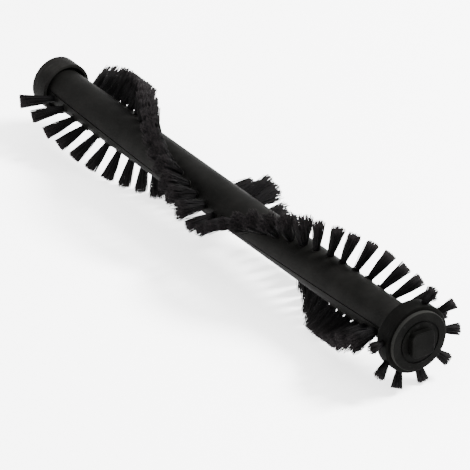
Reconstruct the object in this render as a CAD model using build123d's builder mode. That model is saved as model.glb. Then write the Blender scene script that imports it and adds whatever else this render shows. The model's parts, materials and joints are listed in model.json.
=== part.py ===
"""Tufted brush roller for a wet and dry floor scrubber.

The roller lies along X. +X is the keyed end cap that drops into the machine's side plate, -X is the
cup that takes the drive spindle, and +Z is up. The origin is on the axis, midway between both ends.
Angles are measured about +X, from +Y towards +Z. Millimetres throughout.
"""

import math
import os

from build123d import *

# overall stations along the axis, measured from the drive end
overall_length = 303.0
drive_end = -overall_length / 2

# drive cup
cup_radius = 12.7
cup_skirt_inner = 11.2
cup_length = 10.5
cup_wall = 4.5
plug_radius = 6.35
plug_end = 16.0
socket_depth = 7.0
insert_outer = 5.0
insert_inner = 4.0
keyway_width = 2.0

# core shells
core_radius = 9.55
core_inner = 6.4
core_start = 4.6
core_end = 289.9
flange_radius = 13.9
flange_start = 287.0
seam_apex = 204.0
seam_twist = 0.26
seam_gap = 0.6
seam_depth = 0.5
notch_angle = 113.0
notch_width = 6.0

# tuft rows: two starts, turning one way up to the middle and back the other way after it
far_twist = 1.395
near_twist = 1.39
row_pitch = 7.8
far_count = 18
near_count = 17
hole_radius = 1.35
hole_floor = 7.4
boss_radius = 2.1
boss_top = 9.95
tuft_foot = 8.2
tuft_neck = 10.9
tuft_tip = 24.2
tuft_neck_radius = 1.3
tip_along = 3.0
tip_across = 3.8
flare_count = 5

# tufted hub
hub_radius = 16.4
hub_start = 290.0
hub_end = 297.6
hub_bore = 10.5
hub_web = 1.2
hub_spigot_start = 274.0
hub_tuft_station = 291.1
hub_tuft_lean = 0.35
hub_tuft_count = 10
hub_tuft_start = 355.0
hub_tuft_skipped = (3, 4)
hub_tuft_tip = 24.0

# shaft, bearing and keyed end cap
shaft_radius = 3.0
shaft_start = 8.2
shaft_end = 299.6
shaft_bore = 3.03
bearing_start = 292.6
bearing_width = 4.8
bearing_outer = 8.5
ball_radius = 1.6
ball_circle = 5.75
ball_count = 7
ball_gap = 0.05
race_inner_top = 4.7
race_outer_bottom = 6.8
circlip_start = 297.5
circlip_outer = 4.6
pocket_radius = 5.6
pocket_end = 300.6
cap_radius = 14.3
cap_disc_start = 297.9
cap_disc_end = 300.0
cap_sleeve = 10.0
cap_sleeve_start = 292.2
key_size = 12.0
key_corner = 2.6
key_height = 3.0
ring_radius = 10.0
spider_stations = (40.0, 150.0, 250.0)
spider_width = 5.0

os.makedirs("parts", exist_ok=True)


def across(station, angle=0.0):
    """Plane square to the axis, its local X at the given angle."""
    turn = math.radians(angle)
    return Plane(origin=(drive_end + station, 0, 0), x_dir=(0, math.cos(turn), math.sin(turn)), z_dir=(1, 0, 0))


def outward(station, angle, radius, lean=0.0):
    """Plane facing out from the axis, tipped along it by the lean."""
    turn = math.radians(angle)
    out = Vector(lean, math.cos(turn), math.sin(turn)).normalized()
    foot = Vector(drive_end + station, radius * math.cos(turn), radius * math.sin(turn))
    foot = foot + Vector((radius - hole_floor) * lean, 0, 0)
    side = Vector(0, -math.sin(turn), math.cos(turn))
    return Plane(origin=foot, x_dir=side.cross(out), z_dir=out)


def seam_angle(station):
    """Angle of the front parting line at a station."""
    return seam_apex - seam_twist * abs(station - 150.0)


def far_row(first, apex, lean, flare):
    """Station, angle and lean of the tufts from the drive end to the middle, splayed out at the end."""
    places = []
    for index in range(far_count):
        station = first + row_pitch * index
        angle = apex - far_twist * (150.0 - station)
        places.append((station, angle, -lean - flare * max(0, 1 - index / flare_count)))
    return places


def near_row(first, apex, lean, flare):
    """Station, angle and lean of the tufts from the hub to the middle."""
    places = []
    for index in range(near_count):
        station = first - row_pitch * index
        angle = apex - near_twist * (station - 150.0)
        places.append((station, angle, lean + flare * max(0, 1 - index / flare_count)))
    return places


def save(part, label):
    """Name one sub-part and write its file."""
    part.label = label
    export_step(part, f"parts/{label}.step")


far_upper = far_row(19.0, 185.0, 0.03, 0.46)
far_lower = far_row(16.5, 367.2, 0.14, 0.38)
near_upper = near_row(282.3, 189.3, 0.2, 0.0)
near_lower = near_row(279.8, 365.3, -0.15, 0.3)
hub_turns = [n for n in range(hub_tuft_count) if n not in hub_tuft_skipped]
hub_places = [(hub_tuft_station, hub_tuft_start + 360 / hub_tuft_count * n, hub_tuft_lean) for n in hub_turns]


def twisted(width, depth, shift, begin, end):
    """Rectangle lofted along the axis while it follows the parting line."""
    with BuildPart() as tool:
        for step in range(13):
            stop = begin + (end - begin) * step / 12
            with BuildSketch(across(stop, seam_angle(stop))):
                with Locations((0, shift)):
                    Rectangle(width, depth)
        loft()
    return tool.part


def posts(places, radius, foot, top):
    """Round posts standing out from the axis at every place."""
    with BuildPart() as group:
        for station, angle, lean in places:
            with BuildSketch(outward(station, angle, foot, lean)):
                Circle(radius)
            extrude(amount=top - foot)
    return group.part


def ring(outer, inner, start, end):
    """Plain ring on the axis."""
    with BuildPart() as band:
        with BuildSketch(across(start)):
            Circle(outer)
            Circle(inner, mode=Mode.SUBTRACT)
        extrude(amount=end - start)
    return band.part


def tufts(places, neck, tip):
    """One solid per tuft: a round stem in its hole that fans out to a cut oval tip."""
    with BuildPart() as group:
        for station, angle, lean in places:
            plane = outward(station, angle, tuft_foot + neck - tuft_neck, lean)
            stem = tuft_neck - tuft_foot
            with BuildSketch(plane):
                Circle(tuft_neck_radius)
            extrude(amount=stem)
            with BuildSketch(plane.offset(stem)):
                Circle(tuft_neck_radius)
            with BuildSketch(plane.offset(stem + tip - neck)):
                Ellipse(tip_along, tip_across)
            loft()
    return group.part


# the whole core before it is parted: bored tube, end flange, a collar round every tuft hole
tuft_places = far_upper + far_lower + near_upper + near_lower
with BuildPart() as core:
    with BuildSketch(across(core_start)):
        Circle(core_radius)
    extrude(amount=core_end - core_start)
    with BuildSketch(across(flange_start)):
        Circle(flange_radius)
    extrude(amount=core_end - flange_start)
    with BuildSketch(across(core_start)):
        Circle(core_inner)
    extrude(amount=core_end - core_start, mode=Mode.SUBTRACT)
    add(posts(tuft_places, boss_radius, hole_floor + 1, boss_top))
    add(posts(tuft_places, hole_radius, hole_floor, boss_top + 2), mode=Mode.SUBTRACT)
    with BuildSketch(across(flange_start - 1, notch_angle)):
        with Locations((core_radius + 3.4, 0)):
            Rectangle(5.6, notch_width)
    extrude(amount=core_end - flange_start + 2, mode=Mode.SUBTRACT)

# the upper shell's side of the parting surface, and the groove along it
with BuildPart() as upper_side:
    add(twisted(60, 30, -15, core_start - 1, 150.0))
    add(twisted(60, 30, -15, 150.0, core_end + 1))
with BuildPart() as parting_groove:
    add(twisted(60, seam_gap, 0, core_start - 1, 150.0))
    add(twisted(60, seam_gap, 0, 150.0, core_end + 1))
    with BuildSketch(across(core_start - 2)):
        Circle(core_radius - seam_depth)
    extrude(amount=core_end - core_start + 4, mode=Mode.SUBTRACT)

with BuildPart() as core_shell_upper:
    add(core.part)
    add(upper_side.part, mode=Mode.INTERSECT)
    add(parting_groove.part, mode=Mode.SUBTRACT)
save(core_shell_upper.part, "core_shell_upper")

with BuildPart() as core_shell_lower:
    add(core.part)
    add(upper_side.part, mode=Mode.SUBTRACT)
    add(parting_groove.part, mode=Mode.SUBTRACT)
save(core_shell_lower.part, "core_shell_lower")

# drive cup: open skirt round the core's end, plug inside it, socket from outside
with BuildPart() as drive_cup:
    with BuildSketch(across(0)):
        Circle(cup_radius)
    extrude(amount=cup_length)
    with BuildSketch(across(cup_wall)):
        Circle(cup_skirt_inner)
    extrude(amount=cup_length - cup_wall, mode=Mode.SUBTRACT)
    with BuildSketch(across(cup_wall)):
        Circle(plug_radius)
    extrude(amount=plug_end - cup_wall)
    with BuildSketch(across(0)):
        Circle(insert_outer)
    extrude(amount=socket_depth, mode=Mode.SUBTRACT)
    with BuildSketch(across(shaft_start)):
        Circle(shaft_bore)
    extrude(amount=plug_end - shaft_start, mode=Mode.SUBTRACT)
    rims = drive_cup.edges().filter_by(GeomType.CIRCLE).sort_by(SortBy.RADIUS)
    fillet(rims[-2:], 0.5)
save(drive_cup.part, "drive_cup")

with BuildPart() as drive_insert:
    add(ring(insert_outer, insert_inner, 0.4, socket_depth))
    with BuildSketch(across(0.4)):
        with Locations((insert_inner, 0)):
            Rectangle(1.2, keyway_width)
    extrude(amount=socket_depth - 0.4, mode=Mode.SUBTRACT)
save(drive_insert.part, "drive_insert")

# steel shaft from the drive cup to the keyed end cap, grooved for its circlip
with BuildPart() as axle_shaft:
    with BuildSketch(across(shaft_start)):
        Circle(shaft_radius)
    extrude(amount=shaft_end - shaft_start)
    add(ring(shaft_radius + 1, shaft_radius - 0.5, circlip_start, circlip_start + 0.7), mode=Mode.SUBTRACT)
    ends = axle_shaft.edges().filter_by(GeomType.CIRCLE).sort_by(Axis.X)
    chamfer([ends[0], ends[-1]], 0.5)
save(axle_shaft.part, "axle_shaft")

with BuildPart() as shaft_circlip:
    add(ring(circlip_outer, shaft_radius - 0.45, circlip_start + 0.05, circlip_start + 0.65))
    with BuildSketch(across(circlip_start)):
        with Locations((shaft_radius + 1, 0)):
            Rectangle(4, 2.4)
    extrude(amount=1, mode=Mode.SUBTRACT)
save(shaft_circlip.part, "shaft_circlip")

# spoked wheels that centre the shaft in the shells
for index, station in enumerate(spider_stations):
    with BuildPart() as core_spider:
        with BuildSketch(across(station)):
            Circle(plug_radius)
            Circle(plug_radius - 0.9, mode=Mode.SUBTRACT)
            Circle(shaft_radius + 1.4)
            Rectangle(2 * plug_radius - 1, 1.4)
            Rectangle(1.4, 2 * plug_radius - 1)
            Circle(shaft_bore, mode=Mode.SUBTRACT)
        extrude(amount=spider_width)
    save(core_spider.part, f"core_spider_{index + 1}")

# tufted hub: drum with a bearing pocket, closed behind by a web and plugged into the core
with BuildPart() as tuft_hub:
    with BuildSketch(across(hub_start)):
        Circle(hub_radius)
    extrude(amount=hub_end - hub_start)
    rims = tuft_hub.edges().filter_by(GeomType.CIRCLE)
    fillet(rims, 0.6)
    with BuildSketch(across(hub_start + hub_web)):
        Circle(hub_bore)
    extrude(amount=hub_end - hub_start, mode=Mode.SUBTRACT)
    with BuildSketch(across(hub_spigot_start)):
        Circle(plug_radius)
    extrude(amount=hub_start - hub_spigot_start)
    with BuildSketch(across(hub_spigot_start)):
        Circle(shaft_bore)
    extrude(amount=hub_start + hub_web - hub_spigot_start, mode=Mode.SUBTRACT)
    add(posts(hub_places, hole_radius, hub_bore + 1.2, hub_radius + 1), mode=Mode.SUBTRACT)
save(tuft_hub.part, "tuft_hub")

with BuildPart() as felt_washer:
    add(ring(hub_bore - 1.2, shaft_radius + 0.4, hub_start + hub_web + 0.05, cap_sleeve_start - 0.15))
save(felt_washer.part, "felt_washer")

# rows of tufts, and the wire anchors that hold them in their holes
rows = {"upper_far": far_upper, "lower_far": far_lower, "upper_near": near_upper, "lower_near": near_lower}
for label, places in rows.items():
    save(tufts(places, tuft_neck, tuft_tip), f"tuft_row_{label}")
    save(posts(places, hole_radius - 0.1, hole_floor + 0.1, tuft_foot - 0.1), f"anchor_row_{label}")
hub_lift = hub_radius + 0.4
save(tufts(hub_places, hub_lift, hub_tuft_tip), "hub_tufts")
hub_foot = tuft_foot + hub_lift - tuft_neck
save(posts(hub_places, hole_radius - 0.1, hub_foot - 0.7, hub_foot - 0.1), "hub_anchors")

# ball bearing
bearing_middle = bearing_start + bearing_width / 2
with BuildPart() as ball_track:
    with BuildSketch(Plane.XZ.move(Location((drive_end + bearing_middle, 0, 0)))):
        with Locations((0, ball_circle)):
            Circle(ball_radius + ball_gap)
    revolve(axis=Axis.X)

with BuildPart() as bearing_inner_race:
    add(ring(race_inner_top, shaft_bore, bearing_start, bearing_start + bearing_width))
    add(ball_track.part, mode=Mode.SUBTRACT)
save(bearing_inner_race.part, "bearing_inner_race")

with BuildPart() as bearing_outer_race:
    add(ring(bearing_outer, race_outer_bottom, bearing_start, bearing_start + bearing_width))
    add(ball_track.part, mode=Mode.SUBTRACT)
save(bearing_outer_race.part, "bearing_outer_race")

with BuildPart() as bearing_balls:
    with Locations(across(bearing_middle)):
        with PolarLocations(ball_circle, ball_count):
            Sphere(ball_radius)
save(bearing_balls.part, "bearing_balls")

with BuildPart() as bearing_cage:
    add(ring(ball_circle + 0.55, ball_circle - 0.55, bearing_middle - 1.9, bearing_middle + 1.9))
    pockets = [(bearing_middle, 360 / ball_count * n, 0) for n in range(ball_count)]
    add(posts(pockets, ball_radius + ball_gap, ball_circle - 1.2, ball_circle + 1.2), mode=Mode.SUBTRACT)
save(bearing_cage.part, "bearing_cage")

# keyed end cap: bearing sleeve, face disc with a ring groove, square key
with BuildPart() as end_cap:
    with BuildSketch(across(cap_sleeve_start)):
        Circle(cap_sleeve)
    extrude(amount=cap_disc_start - cap_sleeve_start)
    with BuildSketch(across(cap_disc_start)):
        Circle(cap_radius)
    extrude(amount=cap_disc_end - cap_disc_start)
    rims = end_cap.edges().filter_by(GeomType.CIRCLE).sort_by(Axis.X)
    fillet(rims[-1], 0.5)
    add(ring(ring_radius + 0.45, ring_radius - 0.45, cap_disc_end - 0.5, cap_disc_end + 1), mode=Mode.SUBTRACT)
    with BuildSketch(across(cap_disc_end)):
        RectangleRounded(key_size, key_size, key_corner)
    extrude(amount=key_height)
    key_rim = end_cap.faces().sort_by(Axis.X)[-1].edges()
    fillet(key_rim, 0.4)
    with BuildSketch(across(cap_sleeve_start)):
        Circle(bearing_outer)
    extrude(amount=bearing_start + bearing_width - cap_sleeve_start, mode=Mode.SUBTRACT)
    with BuildSketch(across(bearing_start)):
        Circle(pocket_radius)
    extrude(amount=pocket_end - bearing_start, mode=Mode.SUBTRACT)
save(end_cap.part, "end_cap")
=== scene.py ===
import bmesh
import bpy
import json
import math
import random
from mathutils import Matrix, Vector

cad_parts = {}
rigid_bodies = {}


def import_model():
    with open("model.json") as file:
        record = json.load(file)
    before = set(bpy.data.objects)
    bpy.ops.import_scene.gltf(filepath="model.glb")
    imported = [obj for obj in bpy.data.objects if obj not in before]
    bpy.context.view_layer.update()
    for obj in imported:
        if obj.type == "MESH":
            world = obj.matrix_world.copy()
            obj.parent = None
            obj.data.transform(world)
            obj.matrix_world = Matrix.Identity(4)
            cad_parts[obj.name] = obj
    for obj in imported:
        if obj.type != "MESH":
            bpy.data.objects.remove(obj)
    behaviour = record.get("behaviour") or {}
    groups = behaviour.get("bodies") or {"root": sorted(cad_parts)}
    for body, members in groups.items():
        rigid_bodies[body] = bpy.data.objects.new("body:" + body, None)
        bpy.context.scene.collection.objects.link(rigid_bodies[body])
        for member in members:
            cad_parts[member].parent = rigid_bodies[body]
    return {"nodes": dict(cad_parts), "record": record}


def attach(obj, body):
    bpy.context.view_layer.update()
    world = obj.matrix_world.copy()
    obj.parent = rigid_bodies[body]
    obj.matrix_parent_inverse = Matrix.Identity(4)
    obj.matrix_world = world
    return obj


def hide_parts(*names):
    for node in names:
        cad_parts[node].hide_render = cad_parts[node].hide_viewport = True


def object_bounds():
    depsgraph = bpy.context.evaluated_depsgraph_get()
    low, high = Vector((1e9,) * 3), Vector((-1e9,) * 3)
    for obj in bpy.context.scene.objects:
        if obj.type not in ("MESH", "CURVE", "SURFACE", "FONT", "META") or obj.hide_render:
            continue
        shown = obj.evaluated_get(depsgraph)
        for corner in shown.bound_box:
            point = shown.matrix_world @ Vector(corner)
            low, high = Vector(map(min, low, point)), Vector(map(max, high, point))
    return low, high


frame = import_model()
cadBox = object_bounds()
driveEnd = cadBox[0][0]
print("frame loaded")


def clearSelection():
    bpy.ops.object.select_all(action="DESELECT")


# camera: long lens, looking down on the roller with the keyed end nearest
cameraSettings = {
    "place": (2.0028, -1.3419, 1.3175),
    "right": (0.5571, 0.8304, 0.0),
    "up": (-0.4016, 0.2694, 0.8753),
    "lens": 459.6,
    "sensorWidth": 36.0,
    "clip": (0.1, 20.0),
}


def makeCamera(settings):
    data = bpy.data.cameras.new("studioCamera")
    data.lens = settings["lens"]
    data.sensor_width = settings["sensorWidth"]
    data.clip_start, data.clip_end = settings["clip"]
    camera = bpy.data.objects.new("studioCamera", data)
    bpy.context.scene.collection.objects.link(camera)
    right = Vector(settings["right"]).normalized()
    up = Vector(settings["up"]).normalized()
    back = right.cross(up)
    turn = Matrix((right, up, back)).transposed()
    camera.matrix_world = Matrix.Translation(settings["place"]) @ turn.to_4x4()
    bpy.context.scene.camera = camera


makeCamera(cameraSettings)
print("camera placed")


# floor and light
studioSettings = {
    "floorSize": 6.0,
    "floorDrop": 0.0002,
    "floorRoughness": 0.9,
    "floorColor": (0.97, 0.97, 0.97, 1.0),
    "floorGlow": 1.8,
    "worldColor": (1.0, 1.0, 1.0, 1.0),
    "worldStrength": 2.6,
}
lights = [
    {"name": "keyLight", "place": (0.45, 0.85, 0.95), "size": 0.45, "power": 95.0},
    {"name": "frontLight", "place": (-0.5, -1.4, 0.4), "size": 0.8, "power": 16.0},
]


def makeStudio(settings):
    clearSelection()
    floorHeight = cadBox[0][2] - settings["floorDrop"]
    bpy.ops.mesh.primitive_plane_add(size=settings["floorSize"], location=(0, 0, floorHeight))
    floor = bpy.context.object
    floor.name = "studioFloor"
    material = bpy.data.materials.new("paleFloor")
    material.use_nodes = True
    shader = material.node_tree.nodes["Principled BSDF"]
    shader.inputs["Base Color"].default_value = settings["floorColor"]
    shader.inputs["Roughness"].default_value = settings["floorRoughness"]
    shader.inputs["Emission Color"].default_value = settings["floorColor"]
    shader.inputs["Emission Strength"].default_value = settings["floorGlow"]
    floor.data.materials.append(material)
    world = bpy.data.worlds.new("studioWorld")
    bpy.context.scene.world = world
    world.use_nodes = True
    background = world.node_tree.nodes["Background"]
    background.inputs["Color"].default_value = settings["worldColor"]
    background.inputs["Strength"].default_value = settings["worldStrength"]


def makeLight(settings):
    data = bpy.data.lights.new(settings["name"], "AREA")
    data.shape = "DISK"
    data.size = settings["size"]
    data.energy = settings["power"]
    light = bpy.data.objects.new(settings["name"], data)
    bpy.context.scene.collection.objects.link(light)
    light.location = settings["place"]
    aim = -Vector(settings["place"])
    light.rotation_euler = aim.to_track_quat("-Z", "Y").to_euler()


makeStudio(studioSettings)
for settings in lights:
    makeLight(settings)
print("studio lit")


# materials: every finish is colour drift, worn or dusty patches, uneven gloss and a fine surface
finishes = {
    "core_plastic": {
        "dark": (0.0021, 0.0021, 0.0019), "light": (0.0040, 0.0039, 0.0036),
        "worn": (0.0115, 0.0112, 0.0104),
        "driftScale": 90, "wornAmount": 0.70, "streak": (60, 500, 500), "rough": (0.55, 0.7),
        "grainScale": 2600, "grain": 0.12, "metal": 0.0, "specular": 0.02,
    },
    "cup_plastic": {
        "dark": (0.0034, 0.0033, 0.0031), "light": (0.0062, 0.0060, 0.0056),
        "worn": (0.016, 0.0156, 0.0148),
        "driftScale": 120, "wornAmount": 0.60, "streak": (700, 80, 80), "rough": (0.55, 0.68),
        "grainScale": 2200, "grain": 0.12, "metal": 0.0, "specular": 0.012,
    },
    "hub_plastic": {
        "dark": (0.0010, 0.0010, 0.0009), "light": (0.0020, 0.0020, 0.0018),
        "worn": (0.0075, 0.0075, 0.0072),
        "driftScale": 110, "wornAmount": 0.64, "streak": (500, 70, 70), "rough": (0.58, 0.7),
        "grainScale": 2000, "grain": 0.14, "metal": 0.0, "specular": 0.012,
    },
    "cap_plastic": {
        "dark": (0.0011, 0.0011, 0.0010), "light": (0.0022, 0.0022, 0.0020),
        "worn": (0.0080, 0.0080, 0.0077),
        # painted highlight: a pale ring at the cap's outer rim, standing in for light caught on the
        # edge
        "rim": (0.0140, 0.0144), "rimHighlightColor": (0.014, 0.014, 0.013),
        "driftScale": 130, "wornAmount": 0.62, "streak": (80, 420, 420), "rough": (0.55, 0.7),
        "grainScale": 2400, "grain": 0.12, "metal": 0.0, "specular": 0.012,
    },
    "inner_plastic": {
        "dark": (0.035, 0.035, 0.035), "light": (0.055, 0.055, 0.055), "worn": (0.09, 0.09, 0.09),
        "driftScale": 100, "wornAmount": 0.62, "streak": (200, 200, 200), "rough": (0.5, 0.65),
        "grainScale": 1800, "grain": 0.15, "metal": 0.0, "specular": 0.4,
    },
    "cage_plastic": {
        "dark": (0.48, 0.42, 0.30), "light": (0.62, 0.56, 0.42), "worn": (0.70, 0.66, 0.55),
        "driftScale": 300, "wornAmount": 0.6, "streak": (300, 900, 900), "rough": (0.3, 0.42),
        "grainScale": 3000, "grain": 0.08, "metal": 0.0, "specular": 0.5,
    },
    "felt": {
        "dark": (0.12, 0.115, 0.11), "light": (0.24, 0.23, 0.22), "worn": (0.32, 0.31, 0.30),
        "driftScale": 700, "wornAmount": 0.55, "streak": (3000, 900, 900), "rough": (0.88, 0.98),
        "grainScale": 2800, "grain": 0.6, "metal": 0.0, "specular": 0.2,
    },
    "steel": {
        "dark": (0.50, 0.50, 0.49), "light": (0.62, 0.62, 0.61), "worn": (0.42, 0.41, 0.40),
        "driftScale": 140, "wornAmount": 0.6, "streak": (5200, 60, 60), "rough": (0.24, 0.4),
        "grainScale": 3600, "grain": 0.06, "metal": 1.0, "specular": 0.5,
    },
    "spring_steel": {
        "dark": (0.24, 0.24, 0.25), "light": (0.33, 0.33, 0.34), "worn": (0.42, 0.41, 0.40),
        "driftScale": 260, "wornAmount": 0.6, "streak": (900, 900, 900), "rough": (0.32, 0.46),
        "grainScale": 3600, "grain": 0.08, "metal": 1.0, "specular": 0.5,
    },
    "anchor_wire": {
        "dark": (0.46, 0.45, 0.44), "light": (0.58, 0.57, 0.56), "worn": (0.34, 0.33, 0.32),
        "driftScale": 400, "wornAmount": 0.58, "streak": (1200, 1200, 1200), "rough": (0.3, 0.45),
        "grainScale": 4200, "grain": 0.08, "metal": 1.0, "specular": 0.5,
    },
    "bearing_steel": {
        "dark": (0.66, 0.66, 0.67), "light": (0.76, 0.76, 0.77), "worn": (0.58, 0.58, 0.58),
        "driftScale": 300, "wornAmount": 0.62, "streak": (6400, 90, 90), "rough": (0.08, 0.18),
        "grainScale": 5200, "grain": 0.02, "metal": 1.0, "specular": 0.5,
    },
}

patternSettings = {  # the same on every finish
    "driftDetail": 4.0, "driftRoughness": 0.6, "darkStop": 0.34, "lightStop": 0.68,
    "rubDetail": 6.0, "rubRoughness": 0.62, "wornFade": 0.2,
    "grainDetail": 3.0, "grainRoughness": 0.55, "grainHeight": 0.0002,
}
mixSockets = {"first": 6, "second": 7, "result": 2}  # colour sockets of a Mix node


def addNode(tree, kind, **inputs):
    node = tree.nodes.new(kind)
    for name, value in inputs.items():
        node.inputs[name].default_value = value
    return node


def makeRamp(tree, source, stops):
    ramp = tree.nodes.new("ShaderNodeValToRGB")
    while len(ramp.color_ramp.elements) < len(stops):
        ramp.color_ramp.elements.new(0.5)
    for element, (position, color) in zip(ramp.color_ramp.elements, stops):
        element.position = position
        element.color = (*color, 1.0)
    tree.links.new(source, ramp.inputs["Fac"])
    return ramp.outputs["Color"]


def axisDistance(tree, place):
    across = tree.nodes.new("ShaderNodeVectorMath")  # drops the part along the roller
    across.operation = "MULTIPLY"
    across.inputs[1].default_value = (0.0, 1.0, 1.0)
    tree.links.new(place, across.inputs[0])
    distance = tree.nodes.new("ShaderNodeVectorMath")
    distance.operation = "LENGTH"
    tree.links.new(across.outputs["Vector"], distance.inputs[0])
    return distance.outputs["Value"]


def mixColor(tree, mask, first, second):
    blend = tree.nodes.new("ShaderNodeMix")
    blend.data_type = "RGBA"
    tree.links.new(mask, blend.inputs["Factor"])
    tree.links.new(first, blend.inputs[mixSockets["first"]])
    blend.inputs[mixSockets["second"]].default_value = (*second, 1.0)
    return blend.outputs[mixSockets["result"]]


def rangeTo(tree, source, low, high):  # 0 to 1 becomes low to high
    ranged = addNode(tree, "ShaderNodeMapRange", **{"To Min": low, "To Max": high})
    tree.links.new(source, ranged.inputs["Value"])
    return ranged.outputs["Result"]


def rangeFrom(tree, source, low, high):  # low to high becomes 0 to 1
    ranged = addNode(tree, "ShaderNodeMapRange", **{"From Min": low, "From Max": high})
    tree.links.new(source, ranged.inputs["Value"])
    return ranged.outputs["Result"]


def startMaterial(name, specular):
    material = bpy.data.materials.new(name)
    material.use_nodes = True
    tree = material.node_tree
    shader = tree.nodes["Principled BSDF"]
    shader.inputs["Specular IOR Level"].default_value = specular
    place = tree.nodes.new("ShaderNodeTexCoord").outputs["Object"]
    return material, tree, shader, place


def makeFinish(name, settings, pattern):
    material, tree, shader, place = startMaterial(name, settings["specular"])
    shader.inputs["Metallic"].default_value = settings["metal"]
    # slow drift of the moulded or rolled colour
    drift = addNode(tree, "ShaderNodeTexNoise", Scale=settings["driftScale"],
                    Detail=pattern["driftDetail"], Roughness=pattern["driftRoughness"])
    tree.links.new(place, drift.inputs["Vector"])
    bodyStops = [(pattern["darkStop"], settings["dark"]), (pattern["lightStop"], settings["light"])]
    body = makeRamp(tree, drift.outputs["Fac"], bodyStops)
    # rubbed streaks that follow how the piece turns or slides
    stretch = addNode(tree, "ShaderNodeMapping", Scale=settings["streak"])
    tree.links.new(place, stretch.inputs["Vector"])
    rub = addNode(tree, "ShaderNodeTexNoise", Scale=1.0,
                  Detail=pattern["rubDetail"], Roughness=pattern["rubRoughness"])
    tree.links.new(stretch.outputs["Vector"], rub.inputs["Vector"])
    edge = settings["wornAmount"]
    wornStops = [(edge, (0, 0, 0)), (edge + pattern["wornFade"], (1, 1, 1))]
    mask = makeRamp(tree, rub.outputs["Fac"], wornStops)
    color = mixColor(tree, mask, body, settings["worn"])
    if "rim" in settings:  # painted highlight: a pale ring where the piece is widest, standing in for light caught on its outer edge
        rim = rangeFrom(tree, axisDistance(tree, place), *settings["rim"])
        color = mixColor(tree, rim, color, settings["rimHighlightColor"])
    tree.links.new(color, shader.inputs["Base Color"])
    # gloss goes up and down with the rubbed streaks
    gloss = rangeTo(tree, rub.outputs["Fac"], *settings["rough"])
    tree.links.new(gloss, shader.inputs["Roughness"])
    # fine surface
    grain = addNode(tree, "ShaderNodeTexNoise", Scale=settings["grainScale"],
                    Detail=pattern["grainDetail"], Roughness=pattern["grainRoughness"])
    tree.links.new(place, grain.inputs["Vector"])
    bump = addNode(tree, "ShaderNodeBump", Strength=settings["grain"], Distance=pattern["grainHeight"])
    tree.links.new(grain.outputs["Fac"], bump.inputs["Height"])
    tree.links.new(bump.outputs["Normal"], shader.inputs["Normal"])
    return material


bristleSettings = {  # darker at the root, lighter and speckled towards the tip; reach is from the roller's axis
    "root": (0.0012, 0.0011, 0.0012), "middle": (0.0030, 0.0027, 0.0028),
    "tip": (0.012, 0.0100, 0.0106), "middleStop": 0.42, "tipStop": 0.62, "reach": (0.011, 0.0246),
    "speckleScale": 1800, "speckleDetail": 2.0, "rough": (0.5, 0.7), "specular": 0.04,
}


def makeBristleFinish(settings):
    material, tree, shader, place = startMaterial("bristle", settings["specular"])
    reach = rangeFrom(tree, axisDistance(tree, place), *settings["reach"])
    speckle = addNode(tree, "ShaderNodeTexNoise", Scale=settings["speckleScale"],
                      Detail=settings["speckleDetail"])
    tree.links.new(place, speckle.inputs["Vector"])
    uneven = tree.nodes.new("ShaderNodeMath")
    uneven.operation = "MULTIPLY"
    tree.links.new(reach, uneven.inputs[0])
    tree.links.new(speckle.outputs["Fac"], uneven.inputs[1])
    stops = [(0.0, settings["root"]), (settings["middleStop"], settings["middle"]),
             (settings["tipStop"], settings["tip"])]
    tree.links.new(makeRamp(tree, uneven.outputs["Value"], stops), shader.inputs["Base Color"])
    gloss = rangeTo(tree, speckle.outputs["Fac"], *settings["rough"])
    tree.links.new(gloss, shader.inputs["Roughness"])
    return material


materials = {}
for slot, settings in finishes.items():
    materials[slot] = makeFinish(slot, settings, patternSettings)
materials["bristle"] = makeBristleFinish(bristleSettings)
for subpart in frame["record"]["subparts"]:
    node = bpy.data.objects[subpart["node"]]
    if not node.material_slots:
        node.data.materials.append(None)
    for slot in node.material_slots:
        slot.material = materials[subpart["material_slot"]]
print("materials on", len(frame["nodes"]), "CAD nodes")


# one filament, four-sided and cut square, modelled once at unit size
filamentSettings = {"sides": 4, "tipWidth": 0.85, "rings": (0.2, 0.6)}


def makeFilament(settings):
    clearSelection()
    bpy.ops.mesh.primitive_cone_add(vertices=settings["sides"], radius1=1.0,
                                    radius2=settings["tipWidth"], depth=1.0, location=(0, 0, 0.5))
    filament = bpy.context.object
    bpy.ops.object.transform_apply(location=True)
    bpy.ops.object.mode_set(mode="EDIT")
    for height in settings["rings"]:
        bpy.ops.mesh.select_all(action="SELECT")
        bpy.ops.mesh.bisect(plane_co=(0, 0, height), plane_no=(0, 0, 1))
    bpy.ops.object.mode_set(mode="OBJECT")
    bpy.ops.object.shade_smooth()
    return filament


seeds = {"tufts": 41, "rows": 7}  # every run draws the same brush

# tufts: filaments gathered in the hole, fanning out to a ragged trimmed end
closeTuft = {
    "variants": 5, "filaments": 170, "width": 0.00017, "length": 0.0164,
    "footRadius": 0.00118, "tipAlong": 0.0028, "tipAcross": 0.0033, "fanStart": 0.08, "swell": 0.9,
    "stray": 0.00022, "ragged": 0.0004, "crook": 0.0002,
}
splayedTuft = {
    "variants": 5, "filaments": 230, "width": 0.00018, "length": 0.0166,
    "footRadius": 0.00118, "tipAlong": 0.0037, "tipAcross": 0.0050, "fanStart": 0.06, "swell": 0.9,
    "stray": 0.0005, "ragged": 0.0006, "crook": 0.0004,
}
hubTuft = {
    "variants": 4, "filaments": 150, "width": 0.00017, "length": 0.0101,
    "footRadius": 0.00118, "tipAlong": 0.0024, "tipAcross": 0.0028, "fanStart": 0.16, "swell": 0.95,
    "stray": 0.00025, "ragged": 0.0004, "crook": 0.00015,
}
spacingJitter = 0.3  # how far a filament turns off its even place, in radians
goldenTurn = math.pi * (3 - math.sqrt(5))  # spaces the filaments evenly over the hole


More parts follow.
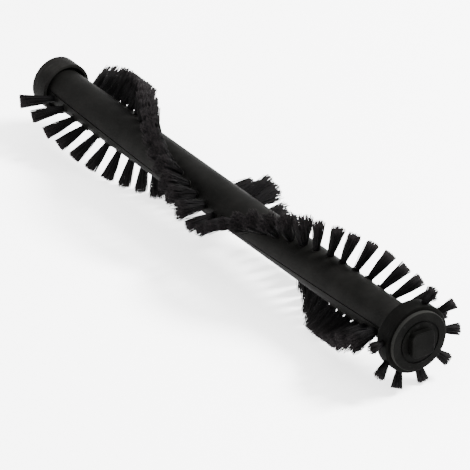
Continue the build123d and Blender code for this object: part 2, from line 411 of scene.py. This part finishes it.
def makeTuft(name, settings, draw):
    sheaf = bmesh.new()
    count = settings["filaments"]
    for index in range(count):
        reach = math.sqrt((index + 0.5) / count)
        turn = goldenTurn * index + draw.uniform(-spacingJitter, spacingJitter)
        across = Vector((math.cos(turn), math.sin(turn), 0)) * reach
        foot = across * settings["footRadius"]
        tip = Vector((across.x * settings["tipAlong"], across.y * settings["tipAcross"], 0))
        tip += Vector((draw.gauss(0, 1), draw.gauss(0, 1), 0)) * settings["stray"]
        crook = Vector((draw.gauss(0, 1), draw.gauss(0, 1), 0)) * settings["crook"]
        length = settings["length"] - abs(draw.gauss(0, settings["ragged"]))
        first = len(sheaf.verts)
        sheaf.from_mesh(filament.data)
        sheaf.verts.ensure_lookup_table()
        for vertex in sheaf.verts[first:]:
            height = vertex.co.z
            opened = (height - settings["fanStart"]) / (1 - settings["fanStart"])
            fan = max(0.0, opened) ** settings["swell"]
            bow = 4 * fan * (1 - height)  # bends the filament between its foot and its tip
            middle = foot.lerp(tip, fan) + crook * bow
            section = Vector((vertex.co.x, vertex.co.y, 0)) * settings["width"]
            vertex.co = middle + section + Vector((0, 0, height * length))
    mesh = bpy.data.meshes.new(name)
    sheaf.to_mesh(mesh)
    sheaf.free()
    return mesh


def makeTufts(name, settings, draw):
    return [makeTuft(name, settings, draw) for index in range(settings["variants"])]


filament = makeFilament(filamentSettings)
draw = random.Random(seeds["tufts"])
closeTufts = makeTufts("closeTuft", closeTuft, draw)
splayedTufts = makeTufts("splayedTuft", splayedTuft, draw)
hubTufts = makeTufts("hubTuft", hubTuft, draw)
bpy.data.objects.remove(filament)
print("tufts modelled")


# rows: two starts, leading one way up to the middle and back the other way after it.
# "splayed" is the range of tufts that open wide, and "flare" leans the first ones over.
rows = {
    "upper_far": {"first": 0.0190, "step": 0.0078, "count": 18, "apex": 185.0, "twist": 1.395,
                  "lean": -0.03, "flare": -0.46, "splayed": (0, 17)},
    "lower_far": {"first": 0.0165, "step": 0.0078, "count": 18, "apex": 367.2, "twist": 1.395,
                  "lean": -0.14, "flare": -0.38, "splayed": (9, 18)},
    "upper_near": {"first": 0.2823, "step": -0.0078, "count": 17, "apex": 189.3, "twist": 1.39,
                   "lean": 0.2, "flare": 0.0, "splayed": (9, 14)},
    "lower_near": {"first": 0.2798, "step": -0.0078, "count": 17, "apex": 365.3, "twist": 1.39,
                   "lean": -0.15, "flare": 0.3, "splayed": (0, 17)},
}
rowShape = {  # the last tufts of a row, next to the middle, are the messy ones
    "middle": 0.150, "holeFloor": 0.0074, "foot": 0.0082, "flareCount": 5, "turnJitter": 1.5,
    "leanJitter": 0.025, "messyCount": 2, "messyLean": 0.08, "messyTurn": 4.0,
}
hubRing = {
    "station": 0.2911, "lean": 0.35, "holeFloor": 0.0074, "foot": 0.0141, "count": 10,
    "skipped": (3, 4), "start": 355.0, "turnJitter": 1.5, "leanJitter": 0.04,
}


def tuftPlace(station, angle, lean, foot, floor):
    turn = math.radians(angle)
    out = Vector((lean, math.cos(turn), math.sin(turn)))
    along = driveEnd + station + (foot - floor) * lean
    base = Vector((along, foot * math.cos(turn), foot * math.sin(turn)))
    stretch = out.length
    out.normalize()
    side = Vector((0, -math.sin(turn), math.cos(turn)))
    turned = Matrix((side.cross(out), side, out)).transposed().to_4x4()
    return Matrix.Translation(base) @ turned @ Matrix.Diagonal((1, 1, stretch, 1))


def placeTufts(name, node, places, draw):
    copies = []
    for place, shapes in places:
        mesh = draw.choice(shapes).copy()
        mesh.transform(place @ Matrix.Rotation(draw.choice((0, math.pi)), 4, "Z"))
        tuft = bpy.data.objects.new(name, mesh)
        bpy.context.scene.collection.objects.link(tuft)
        copies.append(tuft)
    clearSelection()
    for tuft in copies:
        tuft.select_set(True)
    bpy.context.view_layer.objects.active = copies[0]
    bpy.ops.object.join()
    row = bpy.context.object
    row.name = name
    row.data.materials.clear()
    row.data.materials.append(materials["bristle"])
    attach(row, "brush")
    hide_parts(node)


def rowPlaces(row, shape, draw):
    places = []
    for index in range(row["count"]):
        station = row["first"] + row["step"] * index
        messy = index >= row["count"] - shape["messyCount"]
        fromMiddle = 1000 * abs(station - shape["middle"])  # in mm, as twist is in degrees per mm
        angle = row["apex"] - row["twist"] * fromMiddle
        angle += draw.gauss(0, shape["messyTurn"] if messy else shape["turnJitter"])
        lean = row["lean"] + row["flare"] * max(0, 1 - index / shape["flareCount"])
        lean += draw.gauss(0, shape["messyLean"] if messy else shape["leanJitter"])
        place = tuftPlace(station, angle, lean, shape["foot"], shape["holeFloor"])
        splayed = row["splayed"][0] <= index < row["splayed"][1]
        places.append((place, splayedTufts if splayed else closeTufts))
    return places


draw = random.Random(seeds["rows"])
for name, row in rows.items():
    placeTufts(f"bristles_{name}", f"tuft_row_{name}", rowPlaces(row, rowShape, draw), draw)
ringPlaces = []
for index in range(hubRing["count"]):
    if index in hubRing["skipped"]:
        continue
    angle = hubRing["start"] + 360 / hubRing["count"] * index + draw.gauss(0, hubRing["turnJitter"])
    lean = hubRing["lean"] + draw.gauss(0, hubRing["leanJitter"])
    place = tuftPlace(hubRing["station"], angle, lean, hubRing["foot"], hubRing["holeFloor"])
    ringPlaces.append((place, hubTufts))
placeTufts("bristles_hub", "hub_tufts", ringPlaces, draw)
print("bristle rows placed")
